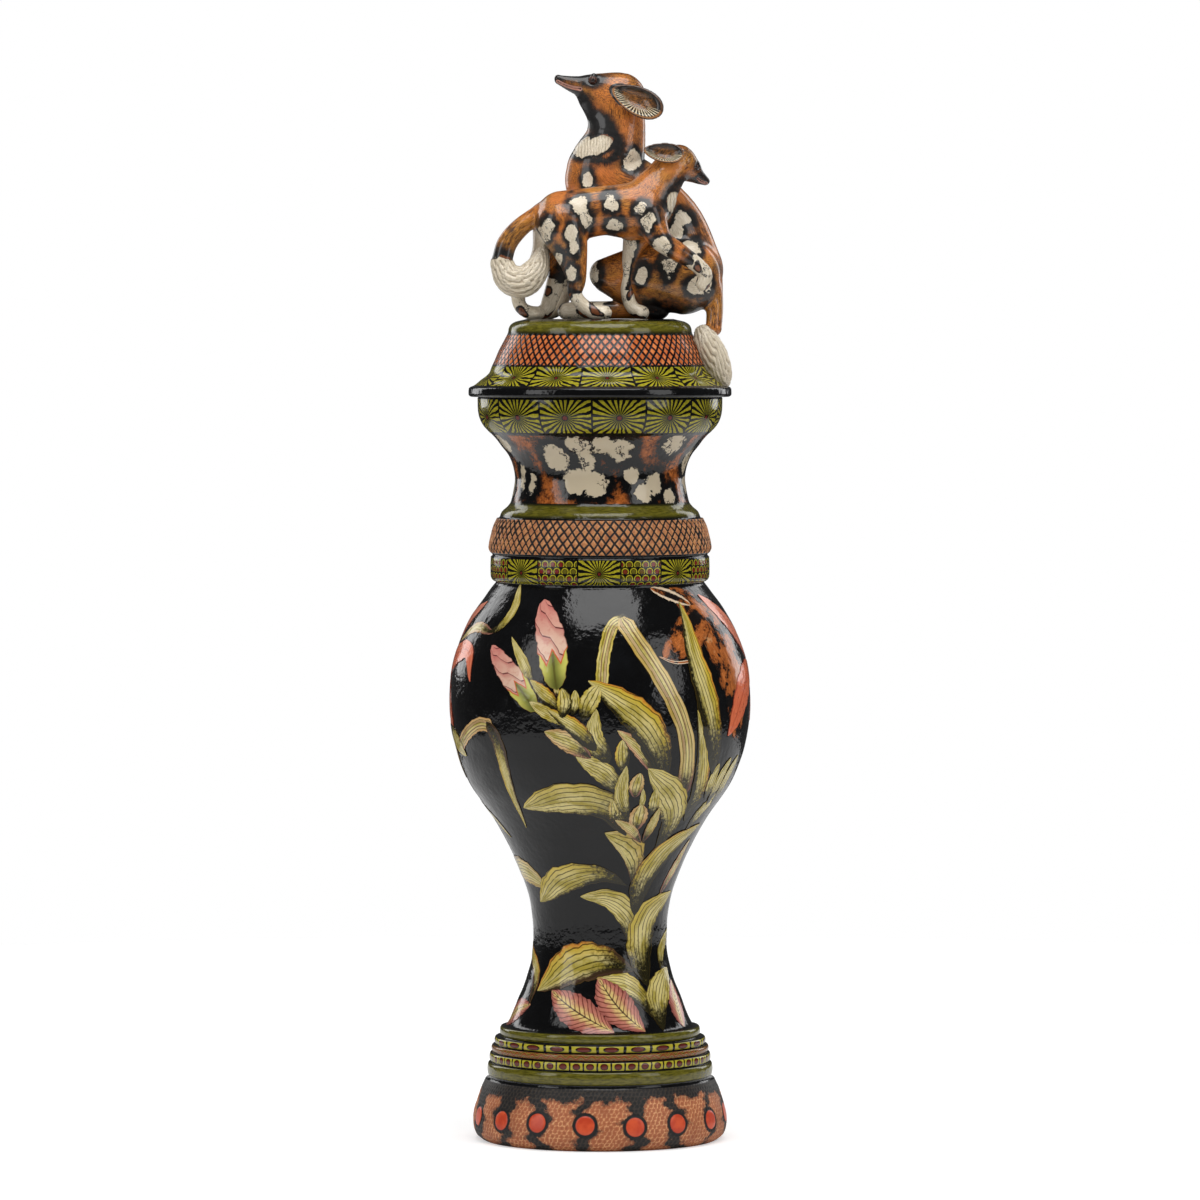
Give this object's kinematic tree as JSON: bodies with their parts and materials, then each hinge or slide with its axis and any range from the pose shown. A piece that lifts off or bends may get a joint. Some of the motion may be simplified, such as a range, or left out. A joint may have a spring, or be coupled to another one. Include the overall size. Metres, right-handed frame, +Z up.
{
  "type": "lidded ceramic jar",
  "caption": "Tall hollow footed jar with a lift-off lid that carries a pair of modelled wild dogs; the lid seats in the mouth on a flange.",
  "frame": {"origin": "middle of the flat underside that the jar stands on", "axes": "+Z up the jar to the dogs' heads, +X towards the sitting dog's hanging tail, -Y towards the standing dog's side"},
  "size_m": [0.1984, 0.1984, 0.7002],
  "materials": {
    "jar": "glossy black glaze with painted leaves, bands of yellow-green rays and a stippled terracotta foot",
    "lid": "glossy painted dogs in orange, black and cream over hatched and rayed bands"
  },
  "bodies": {
    "root": {"jar": "jar", "lid": "lid"}
  },
  "joints": []
}
